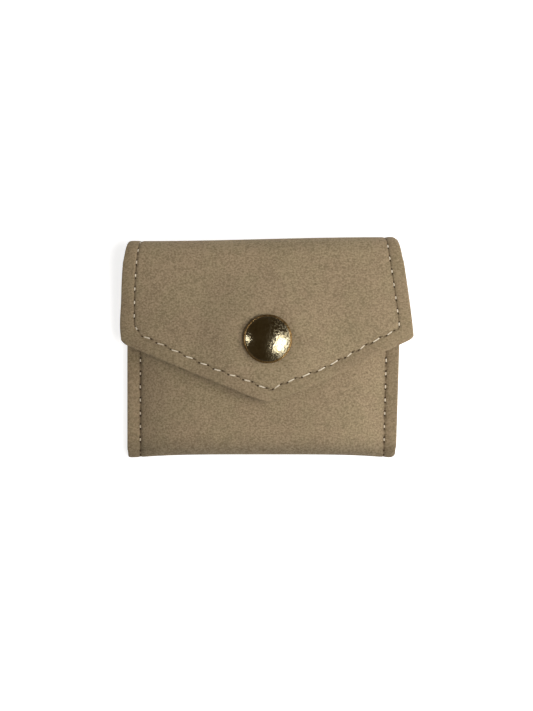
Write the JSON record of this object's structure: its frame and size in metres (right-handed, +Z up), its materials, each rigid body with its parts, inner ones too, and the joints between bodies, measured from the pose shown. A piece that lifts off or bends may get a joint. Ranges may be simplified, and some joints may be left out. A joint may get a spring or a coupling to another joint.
{
  "type": "envelope wallet",
  "caption": "Small suede envelope wallet: flat pouch with card pockets inside and a pointed flap that folds over and closes with a round brass snap.",
  "frame": {"origin": "on the resting plane, under the middle of the wallet; the snap's centre line is at x = 0", "axes": "+X to the right along the folds, +Y towards the top fold, +Z up through the snap's cap; it lies on its back"},
  "size_m": [0.1039, 0.0782, 0.0186],
  "materials": {
    "suede": "napped suede",
    "lining": "plain twill",
    "thread": "waxed thread",
    "brass": "polished antique",
    "spring": "drawn wire"
  },
  "bodies": {
    "pouch": {"outer_shell": "suede", "shell_lining": "lining", "rear_card_pocket": "lining", "front_card_pocket": "lining", "left_side_seam": "thread", "right_side_seam": "thread", "mouth_seam": "thread", "pocket_edge_seams": "thread", "pocket_foot_seam": "thread", "snap_stud": "brass", "stud_rivet": "brass"},
    "flap_spine": {"fold_suede": "suede", "fold_lining": "lining", "fold_seams": "thread"},
    "flap": {"flap_suede": "suede", "flap_lining": "lining", "flap_seam": "thread", "snap_cap": "brass", "cap_post": "brass", "snap_socket": "brass", "snap_spring": "spring"}
  },
  "joints": [
    {"name": "spine_fold", "type": "hinge", "parent": "pouch", "child": "flap_spine", "pos_m": [0, 0.03757, 0.00143], "axis": [-1, 0, 0], "range_deg": [0, 86]},
    {"name": "flap_fold", "type": "hinge", "parent": "flap_spine", "child": "flap", "pos_m": [0, 0.03757, 0.01187], "axis": [-1, 0, 0], "range_deg": [0, 86]}
  ],
  "couplings": [
    {"joint": "flap_fold", "follows": "spine_fold", "ratio": 1}
  ]
}
